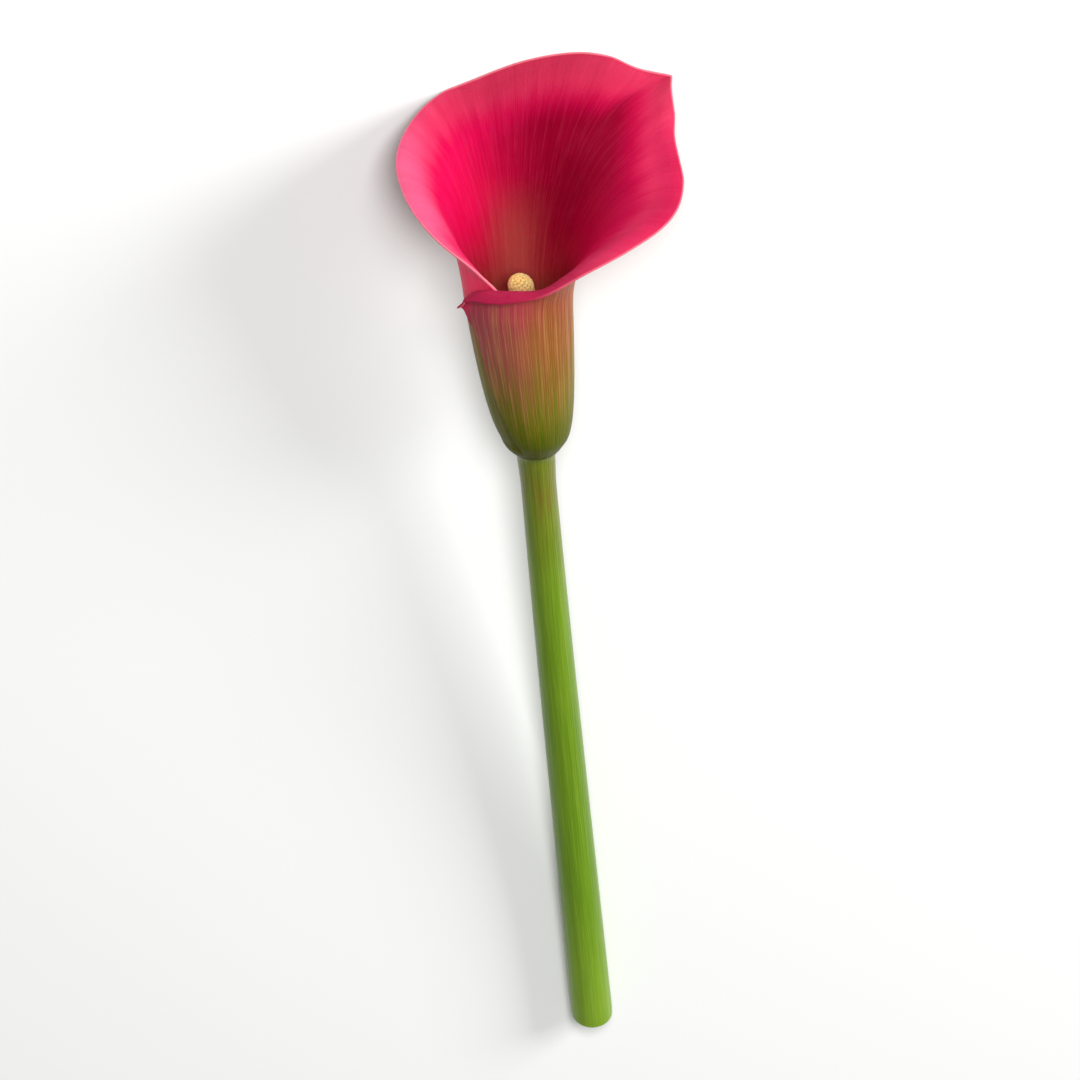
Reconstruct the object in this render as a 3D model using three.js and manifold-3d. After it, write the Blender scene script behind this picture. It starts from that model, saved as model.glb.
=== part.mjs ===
// An arum lily (calla) flower, picked with its stem and laid on its back on a table.
// Millimetres, +Z up. The head points along +Y and the mouth of the spathe faces up.
//
// Every piece is shaped in the flower's own frame, and one group then lays the flower down:
//   x  to the right of somebody who looks into the mouth,
//   y  towards the back of the spathe, the side that comes to lie on the table,
//   z  up the tube, from the joint between stem and spathe.
// Angles run round the tube from the back, growing towards the right.

import * as THREE from "three";
import { mergeVertices } from "three/addons/utils/BufferGeometryUtils.js";
import Module from "manifold-3d";

// ---- driving dimensions -------------------------------------------------------------------

// How the flower lies
const LIE_DEG = 6.5; // the tube rises this much from the stem towards the mouth
const BASE_HEIGHT = 20.9; // the joint between stem and spathe, above the table
const PRESS = 0.5; // the spathe bends flat on the table within this height of it
const STEM_PRESS = 0.1; // and the firmer stem within this

// Stem
const STEM_LENGTH = 140;
const STEM_TOP_R = 4.0; // the stem widens a little into the spathe
const STEM_SHOULDER = 9; // over this length
const STEM_NECK_R = 3.65;
const STEM_CUT_R = 4.35;
const STEM_SWAY = 12; // how far the cut end lies to the right of the flower's base
const STEM_SAG = 15; // how deep the stem's bow is, before the cut end levels out
const STEM_SINK = 0.35; // what the table flattens off the round stem at its cut end
const CUT_SLANT = 0.3; // the knife's slope across the cut end
const PEG_R = 2.6; // the stem's core inside the spathe, which carries the spadix
const PEG_HEIGHT = 3.4;
const PEG_ROOT = 1; // it starts this deep in the stem, as one body with it

// Spathe, measured to the middle of its wall
const WALL_BASE = 1.05;
const WALL_RIM = 0.82;
const TUBE_R = 3.3; // at the joint with the stem
const TUBE_SWELL = 6.1; // the tube gains this much almost at once
const SWELL_HEIGHT = 4.0;
const TUBE_TAPER = 0.057; // and then widens this much for each millimetre
const THROAT_Z = 38;
const BACK_THROAT_Z = 30; // the back starts to flare lower than the front
const THROAT_SHIFT = 3.9; // the tube leans to the left by this much at the throat
const EARLY_LEAN = 0.25; // most of that lean comes low down
const WRAP_PITCH = 1.38; // the outer margin lies this far outside the inner one
const COLLAR_HEIGHT = 4.6; // the margins of the spathe are grown together up to here
const WALL_FOOT = 0.95; // where the free wall starts, inside the collar
const COLLAR_CLEAR = 0.35; // between the collar and the stem's core

// The rim, from the inner margin hidden in the tube, over the left lobe, the back, the tip and
// the right lobe to the free corner of the outer margin: [angle in degrees, reach from the
// tube's axis, height above the joint].
const RIM = [
  [-190, 10.9, 34.0],
  [-160, 11.6, 44.5],
  [-140, 13.8, 50.6],
  [-122, 17.2, 55.0],
  [-104, 19.8, 57.3],
  [-84, 23.2, 60.2],
  [-66, 26.8, 62.8],
  [-50, 29.6, 65.0],
  [-35, 31.6, 67.7],
  [-19, 32.3, 70.6],
  [2, 31.4, 75.3],
  [21, 33.0, 77.4],
  [33, 35.2, 76.6],
  [41, 36.6, 74.2],
  [50, 37.2, 72.8],
  [60, 36.4, 69.8],
  [67, 34.8, 66.9],
  [75, 34.3, 64.4],
  [86, 34.2, 61.9],
  [100, 32.4, 59.3],
  [116, 26.8, 56.0],
  [135, 20.2, 51.2],
  [158, 14.8, 46.2],
  [185, 13.7, 45.1],
  [212, 14.8, 44.7],
  [226, 15.7, 43.4],
  [233, 16.4, 41.6],
];
const TIP_ANGLE = 46; // where the midrib ends in the pointed tip
const TIP_LENGTH = 6.8;
const TIP_LEFT_DEG = 3.5; // the point falls away this fast on either side
const TIP_RIGHT_DEG = 6.5;
const TIP_DROOP = 0.15; // the point bends back by this share of its length
const BASE_MIDRIB_ANGLE = 20; // the midrib turns from here, at the joint, to the tip
const BASE_HALF_WRAP = 179.4; // at the joint the two margins meet and do not yet overlap
const FLARE_BACK_DEG = 45; // how far the wall leans out at the rim, from the tube's axis
const FLARE_SIDE_DEG = 90;
const FLARE_FRONT_DEG = 30;
const FLARE_HEIGHT = 12; // a rim this far above the throat leans out in full
const TUBE_SHARE = 0.4; // share of the wall's rows that lie in the tube
const LOW_THROAT = 0.82; // a low margin leaves the tube at this share of its own height
const THROAT_HANDLE = 0.36; // the limb's curve: how long it keeps to the tube's direction
const RIM_HANDLE = 0.34; // and how long it keeps to the rim's
const TIP_START = 0.45; // the point is drawn out of the limb from here on
const SLIDE_START = 0.08; // the margins slide over each other from here, just above the collar
const SLIDE_RATE = 1.9;
const SEAM_DEG = 80; // the collar leads from the outer margin to the inner one over this much

// Spadix
const SPADIX_R = 2.75;
const SPADIX_TOP = 41.9;
const SPADIX_LEAN = 3.3; // its tip follows the tube to the left
const SEAT_GAP = 0.3;
const PISTIL_TOP = 12.6;
const PISTIL_CORE_R = 2.9;
const PISTIL_SIZE = 0.75; // how far an ovary stands out
const PISTIL_ROWS = 5;
const PISTILS_ROUND = 11;
const ANTHER_SIZE = 0.24;
const ANTHER_ROWS = 25;
const ANTHERS_ROUND = 16;

// ---- mesh fineness --------------------------------------------------------------------------

const SPATHE_COLUMNS = 64;
const TUBE_ROWS = 6;
const LIMB_ROWS = 11;
const STEM_RINGS = 24;
const STEM_SIDES = 18;
const COLLAR_SIDES = 36;
const STEPS_PER_ANTHER = 2;
const STEPS_PER_PISTIL = 3;
const MIDRIB_CROWD = 1.15; // columns crowd towards the midrib
const JOINT_CROWD = 1.6; // rows crowd towards the joint in the tube
const RIM_CROWD = 1.5; // and towards the rim in the limb

// ---- small helpers --------------------------------------------------------------------------

const { PI, sin, cos, abs, exp, hypot, max, min, sign } = Math;
const rad = THREE.MathUtils.degToRad;
const { lerp, smoothstep } = THREE.MathUtils;

// A smooth curve through stations [key, value, value ...], read at one key.
function readStations(stations, key, column) {
  let i = 1;
  while (i < stations.length - 2 && stations[i][0] < key) i++;
  const slope = (k) => {
    const a = stations[max(k - 1, 0)];
    const b = stations[min(k + 1, stations.length - 1)];
    return (b[column] - a[column]) / (b[0] - a[0]);
  };
  const [from, to] = key < stations[i][0] ? [i - 1, i] : [i, i + 1];
  const width = stations[to][0] - stations[from][0];
  const t = (key - stations[from][0]) / width;
  const [t2, t3] = [t * t, t * t * t];
  return (
    (2 * t3 - 3 * t2 + 1) * stations[from][column] +
    (t3 - 2 * t2 + t) * width * slope(from) +
    (3 * t2 - 2 * t3) * stations[to][column] +
    (t3 - t2) * width * slope(to)
  );
}

const LIE = rad(LIE_DEG);
const heightOf = (p) => BASE_HEIGHT - p.y * cos(LIE) + p.z * sin(LIE);

// How far a point has to rise for what would reach into the table to lie flat on it.
function settling(p, press) {
  const h = heightOf(p);
  if (h >= press) return 0;
  return (h <= -press ? 0 : (h + press) ** 2 / (4 * press)) - h;
}

function raise(p, rise) {
  p.y -= rise * cos(LIE);
  p.z += rise * sin(LIE);
  return p;
}

function geometryOf(vertices, triangles) {
  const geometry = new THREE.BufferGeometry();
  const positions = vertices.flatMap((v) => [v.x, v.y, v.z]);
  geometry.setAttribute("position", new THREE.Float32BufferAttribute(positions, 3));
  geometry.setIndex(triangles.flat());
  geometry.computeVertexNormals();
  return geometry;
}

// A closed rod: rings of points round a line, with a flat fan at either end.
function rod(rings, sides, pointAt) {
  const vertices = [];
  for (let j = 0; j <= rings; j++)
    for (let i = 0; i < sides; i++) vertices.push(pointAt(j / rings, (2 * PI * i) / sides));
  const ringMiddle = (j) => {
    const ring = vertices.slice(j * sides, (j + 1) * sides);
    return ring.reduce((sum, v) => sum.add(v), new THREE.Vector3()).divideScalar(sides);
  };
  const bottom = vertices.length;
  vertices.push(ringMiddle(0), ringMiddle(rings));
  const triangles = [];
  for (let i = 0; i < sides; i++) {
    const next = (i + 1) % sides;
    triangles.push([bottom, next, i]);
    triangles.push([bottom + 1, rings * sides + i, rings * sides + next]);
    for (let j = 0; j < rings; j++) {
      const [a, b] = [j * sides + i, j * sides + next];
      const [c, d] = [a + sides, b + sides];
      triangles.push([a, b, d], [a, d, c]);
    }
  }
  return geometryOf(vertices, triangles);
}

// ---- spathe ---------------------------------------------------------------------------------

const tubeRadius = (z) => TUBE_R + (TUBE_SWELL * z) / (z + SWELL_HEIGHT) + TUBE_TAPER * z;
const tubeShift = (z) =>
  -THROAT_SHIFT * (z / THROAT_Z) * (1 + EARLY_LEAN * (1 - z / THROAT_Z));
const wrapStep = (z) => WRAP_PITCH * smoothstep(z, 0.3, 3.2);

// Angle round the tube: across runs from -1, the inner margin, over 0, the midrib, to 1, the
// outer margin; along runs from 0 at the joint to 1 at the rim.
function wrapAngle(across, along) {
  const rimEnd = across < 0 ? RIM[0][0] : RIM[RIM.length - 1][0];
  const baseEnd = BASE_MIDRIB_ANGLE + sign(across) * BASE_HALF_WRAP;
  const free = max((along - SLIDE_START) / (1 - SLIDE_START), 0);
  const margin = lerp(baseEnd, rimEnd, 1 - (1 - min(free * SLIDE_RATE, 1)) ** 2);
  const midrib = lerp(BASE_MIDRIB_ANGLE, TIP_ANGLE, along * along);
  return midrib + abs(across) * (margin - midrib);
}

function roundTube(angle, r, z) {
  return new THREE.Vector3(tubeShift(z) + r * sin(rad(angle)), r * cos(rad(angle)), z);
}

function onTube(angle, z) {
  return roundTube(angle, tubeRadius(z) + (wrapStep(z) * (angle - BASE_MIDRIB_ANGLE)) / 360, z);
}

const outFrom = (angle, flare) =>
  new THREE.Vector3(sin(flare) * sin(rad(angle)), sin(flare) * cos(rad(angle)), cos(flare));

function onRim(angle) {
  const p = outFrom(angle, PI / 2).multiplyScalar(readStations(RIM, angle, 1));
  return p.add(new THREE.Vector3(-THROAT_SHIFT, 0, readStations(RIM, angle, 2)));
}

// The middle of the wall: straight up the tube, then a Bezier curve out to the rim, with the
// pointed tip drawn out of the last of it.
function spatheMiddle(across, along) {
  const angle = wrapAngle(across, along);
  const rimAngle = wrapAngle(across, 1);
  const rim = onRim(rimAngle);
  const front = 0.5 - 0.5 * cos(rad(rimAngle));
  const throat = min(lerp(BACK_THROAT_Z, THROAT_Z, front), LOW_THROAT * rim.z);
  if (along <= TUBE_SHARE)
    return onTube(angle, lerp(WALL_FOOT, throat, (along / TUBE_SHARE) ** JOINT_CROWD));

  const t = (along - TUBE_SHARE) / (1 - TUBE_SHARE);
  const start = onTube(angle, throat);
  const climb = onTube(angle, throat + 0.1).sub(start).normalize();
  const side = sin(rad(rimAngle)) ** 2;
  const open = smoothstep(rim.z, THROAT_Z, THROAT_Z + FLARE_HEIGHT);
  const lean = lerp(lerp(FLARE_BACK_DEG, FLARE_FRONT_DEG, front), FLARE_SIDE_DEG, side);
  const out = outFrom(rimAngle, rad(lean * open));
  const span = start.distanceTo(rim);
  const curve = new THREE.CubicBezierCurve3(
    start,
    start.clone().addScaledVector(climb, THROAT_HANDLE * span),
    rim.clone().addScaledVector(out, -RIM_HANDLE * span),
    rim,
  );
  const off = rimAngle - TIP_ANGLE;
  const fall = (hypot(off, 1) - 1) / (off < 0 ? TIP_LEFT_DEG : TIP_RIGHT_DEG);
  const tip = TIP_LENGTH * exp(-fall) * smoothstep(t, TIP_START, 1) ** 2;
  const point = curve.getPoint(t).addScaledVector(outFrom(rimAngle, PI / 2), tip);
  point.z -= TIP_DROOP * tip;
  return point;
}

// A point on either face of the wall. Both faces rise alike where the outer one would reach
// into the table.
function spathePoint(across, along, side) {
  const step = 1e-3;
  const p = spatheMiddle(across, along);
  const a = spatheMiddle(max(across - step, -1), along);
  const b = spatheMiddle(min(across + step, 1), along);
  const c = spatheMiddle(across, max(along - step, 0));
  const d = spatheMiddle(across, min(along + step, 1));
  const outward = d.sub(c).cross(b.sub(a)).normalize();
  const half = lerp(WALL_BASE, WALL_RIM, smoothstep(along, 0.1, 0.9)) / 2;
  const rise = settling(p.clone().addScaledVector(outward, half), PRESS);
  return raise(p.addScaledVector(outward, side * half), rise);
}

function spatheSheet() {
  const [columns, rows] = [SPATHE_COLUMNS, TUBE_ROWS + LIMB_ROWS];
  const alongAt = (row) =>
    row <= TUBE_ROWS
      ? (TUBE_SHARE * row) / TUBE_ROWS
      : 1 - (1 - TUBE_SHARE) * (1 - (row - TUBE_ROWS) / LIMB_ROWS) ** RIM_CROWD;
  const vertices = [];
  for (const side of [1, -1])
    for (let i = 0; i <= columns; i++)
      for (let j = 0; j <= rows; j++) {
        const u = (2 * i) / columns - 1;
        const across = sign(u) * abs(u) ** MIDRIB_CROWD;
        vertices.push(spathePoint(across, alongAt(j), side));
      }
  const at = (i, j) => i * (rows + 1) + j;
  const inside = (columns + 1) * (rows + 1);
  const triangles = [];
  for (let i = 0; i < columns; i++)
    for (let j = 0; j < rows; j++) {
      const [a, b, c, d] = [at(i, j), at(i, j + 1), at(i + 1, j + 1), at(i + 1, j)];
      for (const [p, q, r] of [[a, b, c], [a, c, d]]) {
        triangles.push([p, q, r]);
        triangles.push([p + inside, r + inside, q + inside]);
      }
    }
  const edge = [];
  for (let j = 0; j < rows; j++) edge.push(at(0, j));
  for (let i = 0; i < columns; i++) edge.push(at(i, rows));
  for (let j = rows; j > 0; j--) edge.push(at(columns, j));
  for (let i = columns; i > 0; i--) edge.push(at(i, 0));
  edge.forEach((a, k) => {
    const b = edge[(k + 1) % edge.length];
    triangles.push([b, a, a + inside], [b, a + inside, b + inside]);
  });
  return geometryOf(vertices, triangles);
}

// The ring where the spathe's margins have grown together, seated on the stem's shoulder. It
// runs inside the wall and closes the step between the two margins.
function spatheCollar() {
  const inner = PEG_R + COLLAR_CLEAR;
  const top = COLLAR_HEIGHT;
  const half = 0.33 * WALL_BASE;
  const profile = [
    [inner, SEAT_GAP],
    [STEM_TOP_R + 0.05, SEAT_GAP],
    [tubeRadius(0.9) + 0.3, 0.6],
    [tubeRadius(1.9) + 0.6 * half, 1.75],
    [tubeRadius(3.2) + half, 3.1],
    [tubeRadius(top) + 0.7 * half, top],
    [tubeRadius(top) - 0.7 * half, top],
    [tubeRadius(3.2) - half, 3.4],
    [tubeRadius(1.9) - half, 2.2],
    [inner + 0.5, 1.5],
    [inner, 1.1],
  ];
  const vertices = [];
  for (let i = 0; i < COLLAR_SIDES; i++) {
    const turn = (360 * i) / COLLAR_SIDES; // from the midrib
    const toSeam = turn - 180;
    const free = 180 - SEAM_DEG / 2;
    const step =
      abs(toSeam) > SEAM_DEG / 2
        ? (turn > 180 ? turn - 360 : turn) / 360
        : ((-toSeam / (SEAM_DEG / 2)) * free) / 360;
    for (const [r, z] of profile) {
      const share = smoothstep(r, inner + 1, tubeRadius(2));
      vertices.push(roundTube(turn + BASE_MIDRIB_ANGLE, r + share * wrapStep(z) * step, z));
    }
  }
  const around = profile.length;
  const triangles = [];
  for (let i = 0; i < COLLAR_SIDES; i++)
    for (let k = 0; k < around; k++) {
      const [m, n] = [(i + 1) % COLLAR_SIDES, (k + 1) % around];
      const [a, b, c, d] = [i * around + k, i * around + n, m * around + n, m * around + k];
      triangles.push([a, b, c], [a, c, d]);
    }
  return geometryOf(vertices, triangles);
}

// ---- booleans -------------------------------------------------------------------------------

const wasm = await Module();
wasm.setup();

function solidFrom(geometry) {
  const plain = geometry.clone();
  plain.deleteAttribute("normal");
  plain.deleteAttribute("uv");
  const merged = mergeVertices(plain, 1e-3);
  return new wasm.Manifold(
    new wasm.Mesh({
      numProp: 3,
      vertProperties: merged.attributes.position.array,
      triVerts: new Uint32Array(merged.index.array),
    }),
  );
}

function geometryFrom(solid) {
  const { vertProperties, triVerts } = solid.getMesh();
  const geometry = new THREE.BufferGeometry();
  geometry.setAttribute("position", new THREE.BufferAttribute(vertProperties, 3));
  geometry.setIndex(new THREE.BufferAttribute(triVerts, 1));
  geometry.computeVertexNormals();
  return geometry;
}

const spatheGeometry = () => geometryFrom(solidFrom(spatheSheet()).add(solidFrom(spatheCollar())));

// ---- stem -----------------------------------------------------------------------------------

// The stem's middle line: level with the tube at the joint, bowed, and nearly along the table
// at the cut end.
function stemLine(down) {
  const s = down / STEM_LENGTH;
  const rest = STEM_CUT_R * cos(LIE) - STEM_SINK;
  const drop = BASE_HEIGHT - rest - STEM_LENGTH * sin(LIE);
  const bow = STEM_SAG * s * s * (1 - s) + drop * s * s * (3 - 2 * s);
  return new THREE.Vector3(STEM_SWAY * s * (0.9 + 0.1 * s), bow / cos(LIE), -down);
}

function stemPoint(along, turn) {
  const down = STEM_LENGTH * (1 - along);
  const body = lerp(STEM_NECK_R, STEM_CUT_R, down / STEM_LENGTH);
  const r = lerp(STEM_TOP_R, body, smoothstep(down, 0, STEM_SHOULDER));
  const p = stemLine(down);
  p.x += r * cos(turn);
  p.y += r * sin(turn);
  if (along === 0) p.z += CUT_SLANT * r * sin(turn);
  return raise(p, settling(p, STEM_PRESS));
}

function stemGeometry() {
  const peg = new THREE.CylinderGeometry(PEG_R, PEG_R, PEG_HEIGHT + PEG_ROOT, STEM_SIDES)
    .rotateX(PI / 2)
    .translate(0, 0, (PEG_HEIGHT - PEG_ROOT) / 2);
  const shaft = rod(STEM_RINGS, STEM_SIDES, stemPoint);
  return geometryFrom(solidFrom(shaft).add(solidFrom(peg)));
}

// ---- spadix ---------------------------------------------------------------------------------

function spadixMiddle(z) {
  return new THREE.Vector3(-SPADIX_LEAN * (z / SPADIX_TOP) ** 1.5, 0, z);
}

// Rounded knobs in staggered rows: 1 at the middle of a knob, 0 in the furrow between.
function knob(turn, row, round) {
  const stagger = row % 2 ? PI / round : 0;
  return (0.5 + 0.5 * cos(round * (turn - stagger))) ** 0.8;
}

// The pistil zone: ovaries in rows round the foot of the spadix.
function pistilGeometry() {
  const foot = PEG_HEIGHT + SEAT_GAP;
  const rings = PISTIL_ROWS * STEPS_PER_PISTIL;
  return rod(rings, PISTILS_ROUND * STEPS_PER_PISTIL, (along, turn) => {
    const z = lerp(foot, PISTIL_TOP, along);
    const inRow = along * PISTIL_ROWS;
    const row = min(Math.floor(inRow), PISTIL_ROWS - 1);
    const swell = sin(PI * (inRow - row)) ** 0.7;
    const r = PISTIL_CORE_R + PISTIL_SIZE * (0.15 + swell * knob(turn, row, PISTILS_ROUND));
    return spadixMiddle(z).add(new THREE.Vector3(r * cos(turn), r * sin(turn), 0));
  });
}

// The stamen zone: anthers all over the upper spadix, to its rounded end.
function stamenGeometry() {
  const foot = PISTIL_TOP + SEAT_GAP;
  const rings = ANTHER_ROWS * STEPS_PER_ANTHER;
  return rod(rings, ANTHERS_ROUND * STEPS_PER_ANTHER, (along, turn) => {
    const z = lerp(foot, SPADIX_TOP, along);
    const cap = max(z - SPADIX_TOP + SPADIX_R, 0) / SPADIX_R;
    const rounded = SPADIX_R * (1 - 0.96 * cap ** 2) ** 0.5;
    const step = Math.round(along * rings);
    const onRow = step % STEPS_PER_ANTHER === 1;
    const row = Math.floor(step / STEPS_PER_ANTHER);
    const bump = onRow ? knob(turn, row, ANTHERS_ROUND) : 0;
    const r = rounded + ANTHER_SIZE * bump * (1 - cap / 2);
    return spadixMiddle(z).add(new THREE.Vector3(r * cos(turn), r * sin(turn), 0));
  });
}

// ---- materials and assembly -----------------------------------------------------------------

const material = (color, roughness) =>
  new THREE.MeshStandardMaterial({ color, roughness, metalness: 0 });

function piece(name, geometry, finish) {
  const mesh = new THREE.Mesh(geometry, finish);
  mesh.name = name;
  return mesh;
}

const flower = new THREE.Group();
flower.add(
  piece("stem", stemGeometry(), material("#5d8000", 0.5)),
  piece("spathe", spatheGeometry(), material("#e0305f", 0.45)),
  piece("spadix_pistils", pistilGeometry(), material("#cfd08a", 0.6)),
  piece("spadix_stamens", stamenGeometry(), material("#f0ad5a", 0.8)),
);
flower.rotation.x = LIE - PI / 2;
flower.position.z = BASE_HEIGHT;

// The origin is on the table, under the middle of the flower.
const lyingFlower = new THREE.Group();
lyingFlower.add(flower);
const extent = new THREE.Box3().setFromObject(lyingFlower, true);
const middle = extent.getCenter(new THREE.Vector3());
flower.position.x -= middle.x;
flower.position.y -= middle.y;

export default lyingFlower;
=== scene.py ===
"""An arum lily flower, picked with its stem and laid on its back on a pale table.

The pieces are shaped in the flower's own frame, in millimetres, and lay_down() then puts them
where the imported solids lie, in metres:
  x  to the right of somebody who looks into the mouth,
  y  towards the back of the spathe, the side that lies on the table,
  z  up the tube, from the joint between stem and spathe.
Bearings run round the tube from the back, in degrees, growing towards the right.
"""

import math
import random

import bpy
import numpy as np
from mathutils import Matrix, Vector, noise


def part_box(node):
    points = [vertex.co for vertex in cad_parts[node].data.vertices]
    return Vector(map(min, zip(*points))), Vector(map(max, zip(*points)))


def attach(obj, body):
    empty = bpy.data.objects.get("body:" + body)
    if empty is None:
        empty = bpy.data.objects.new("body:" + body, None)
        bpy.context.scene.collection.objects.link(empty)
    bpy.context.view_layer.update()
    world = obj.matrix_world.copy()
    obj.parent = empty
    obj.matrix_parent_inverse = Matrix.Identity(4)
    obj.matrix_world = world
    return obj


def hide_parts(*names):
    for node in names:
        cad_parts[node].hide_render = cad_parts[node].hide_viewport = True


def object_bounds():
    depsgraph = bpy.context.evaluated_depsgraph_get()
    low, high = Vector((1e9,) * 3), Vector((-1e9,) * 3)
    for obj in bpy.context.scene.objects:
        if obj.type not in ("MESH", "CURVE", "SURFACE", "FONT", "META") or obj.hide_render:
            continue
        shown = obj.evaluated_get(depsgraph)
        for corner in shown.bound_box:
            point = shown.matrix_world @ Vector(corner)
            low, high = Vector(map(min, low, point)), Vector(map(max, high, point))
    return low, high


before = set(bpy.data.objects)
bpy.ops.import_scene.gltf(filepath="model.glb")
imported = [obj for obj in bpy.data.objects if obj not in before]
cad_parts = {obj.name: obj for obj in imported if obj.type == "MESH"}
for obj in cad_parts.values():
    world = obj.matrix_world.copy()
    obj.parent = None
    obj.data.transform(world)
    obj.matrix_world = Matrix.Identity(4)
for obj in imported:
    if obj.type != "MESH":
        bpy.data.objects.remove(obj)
CAD_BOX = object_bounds()
BODY = "root"
MM = 0.001

# ---- driving dimensions, as in the solids ---------------------------------------------------

# How the flower lies
LIE = math.radians(6.5)  # the tube rises this much from the stem towards the mouth
BASE_HEIGHT = 20.9  # the joint between stem and spathe, above the table
PRESS = 0.5  # the spathe bends flat on the table within this height of it
STEM_PRESS = 0.1

# Stem
STEM_LENGTH = 140
STEM_TOP_R = 4.0
STEM_SHOULDER = 9
STEM_NECK_R = 3.65
STEM_CUT_R = 4.35
STEM_SWAY = 12
SWAY_EARLY = 0.9  # below 1, it sways a little more towards its cut end
STEM_SAG = 15
STEM_SINK = 0.35
CUT_SLANT = 0.3
PEG_R = 2.6
PEG_HEIGHT = 3.4

# Spathe
WALL_BASE = 1.05
WALL_RIM = 0.82
TUBE_R = 3.3
TUBE_SWELL = 6.1
SWELL_HEIGHT = 4.0
TUBE_TAPER = 0.057
THROAT_Z = 38
BACK_THROAT_Z = 30
THROAT_SHIFT = 3.9
EARLY_LEAN = 0.25
WRAP_PITCH = 1.38
# The rim: [bearing, reach from the tube's axis, height above the joint]
RIM = np.array(
    [
        [-190, 10.9, 34.0],
        [-160, 11.6, 44.5],
        [-140, 13.8, 50.6],
        [-122, 17.2, 55.0],
        [-104, 19.8, 57.3],
        [-84, 23.2, 60.2],
        [-66, 26.8, 62.8],
        [-50, 29.6, 65.0],
        [-35, 31.6, 67.7],
        [-19, 32.3, 70.6],
        [2, 31.4, 75.3],
        [21, 33.0, 77.4],
        [33, 35.2, 76.6],
        [41, 36.6, 74.2],
        [50, 37.2, 72.8],
        [60, 36.4, 69.8],
        [67, 34.8, 66.9],
        [75, 34.3, 64.4],
        [86, 34.2, 61.9],
        [100, 32.4, 59.3],
        [116, 26.8, 56.0],
        [135, 20.2, 51.2],
        [158, 14.8, 46.2],
        [185, 13.7, 45.1],
        [212, 14.8, 44.7],
        [226, 15.7, 43.4],
        [233, 16.4, 41.6],
    ]
)
RIM_REACH, RIM_HEIGHT = 1, 2  # its columns
TIP_BEARING = 46
TIP_LENGTH = 6.8
TIP_LEFT = 3.5
TIP_RIGHT = 6.5
TIP_DROOP = 0.15
BASE_MIDRIB = 20
FLARE_BACK, FLARE_SIDE, FLARE_FRONT = 45, 90, 30
FLARE_HEIGHT = 12
TUBE_SHARE = 0.4
LOW_THROAT = 0.82
THROAT_HANDLE = 0.36
RIM_HANDLE = 0.34
TIP_START = 0.45
TIP_SPREAD = 5  # the tip's fold widens by this many times towards the throat
TIP_EASE = 6  # and its crease is eased over this many degrees
SLIDE_START = 0.1
SLIDE_RATE = 1.9
JOINT_CROWD = 1.6

# Spadix
SPADIX_R = 2.75
SPADIX_TOP = 41.9
SPADIX_LEAN = 3.3
PISTIL_FOOT = 3.7
PISTIL_TOP = 12.6
STAMEN_FOOT = 12.9

# ---- finer shape ----------------------------------------------------------------------------

FOOT_Z = 0.1  # the spathe's foot, just inside the stem's top
GROWN_TO = 2.0  # the two margins are one below this height
LIFT_TO = 4.8  # and lie fully over each other above this one
EVEN_ROWS = (0.11, 0.5)  # rows of points run level up to the first of these shares of the tube
PROBE = 1e-3  # a small step across or along the sheet, to measure it by
CLIMB_STEP = 0.1  # and one up the tube, in millimetres
EDGE_R = 0.27  # the rounding of every free edge
EDGE_LEFT = 0.14  # the share of the wall that is left at the very edge
EDGE_ROWS = 5
WELD = 1e-6  # metres; the two margins share their points where they are one
TUBE_ROWS = 44
LIMB_ROWS = 84
LIMB_CROWD = 1.25  # the limb's rows draw closer towards the rim
HALF_COLUMNS = 145
MIDRIB_CROWD = 1.5
WALL_TAPER = (0.1, 0.9)  # the wall thins between these shares of the way up
EDGE_THIN = 0.66  # and to this share at its free edges
EDGE_FADE = 4.5  # over this width
PART_RUN = 1.6  # the margins come apart over this height
FAR = 50  # further from an edge than anything reads
PLEAT = 0.045  # the relief of the long fibres
PLEATS = 62  # in a full turn
PLEAT_RUN = 45
PLEAT_SEED = 3.1
PLEAT_EDGE = (0.1, 1.6)  # it comes in between these distances from a free edge
RIPPLE = 0.3  # the gentle unevenness of the limb
RIPPLE_SIZE = 17
RIPPLE_RISE = 30
RIPPLE_SEED = 7.7
RIPPLE_START = (18, 46)  # it comes in between these heights
# The margin rolls outwards: [bearing, through how many degrees, how far from the rim the roll
# starts, how much the rim is drawn in to make room for it, how much the rim comes down]
ROLL = np.array(
    [
        [-190, 0, 4.6, 0, -0.4],
        [-168, 0, 4.6, 0, -0.4],
        [-145, 0, 4.6, 0, 1.2],
        [-124, 12, 4.6, 0, 1.0],
        [-100, 17, 4.6, 0, 0],
        [-60, 17, 4.6, 0, 0],
        [0, 10, 4.6, 0, 0],
        [75, 15, 4.6, 0, 0],
        [108, 42, 4.6, 0.6, 0],
        [140, 60, 4.2, 1.0, 0],
        [170, 130, 2.6, 1.5, 0],
        [200, 158, 2.2, 1.9, 0],
        [218, 132, 2.4, 2.3, 0],
        [233, 84, 3.0, 2.7, 0],
    ]
)
ROLL_DEGREES, ROLL_START, ROLL_DRAWN_IN, ROLL_DROP = 1, 2, 3, 4  # its columns
ROLL_LEAST = 0.01  # radians
ROLL_CREST = math.radians(68)  # seen from the front, a roll is highest here
ROLL_DEPTH = 0.7  # its depth, as a share of a round one's
CORNER_FLARE = 1.7  # how far the outer margin stands away from the tube under its corner
CORNER_WIDTH = 9  # from this far in from that margin
CORNER_DROP = (12, 1)  # from the first of these distances below the rim, in full at the second
EASE_WIDTH = 0.055  # creases along the limb are eased over this share of half its breadth
EASE_RIM = (3, 12)  # not at all nearer to an edge than the first of these distances
EASE_START = (TUBE_SHARE, 1.4 * TUBE_SHARE)

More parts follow.
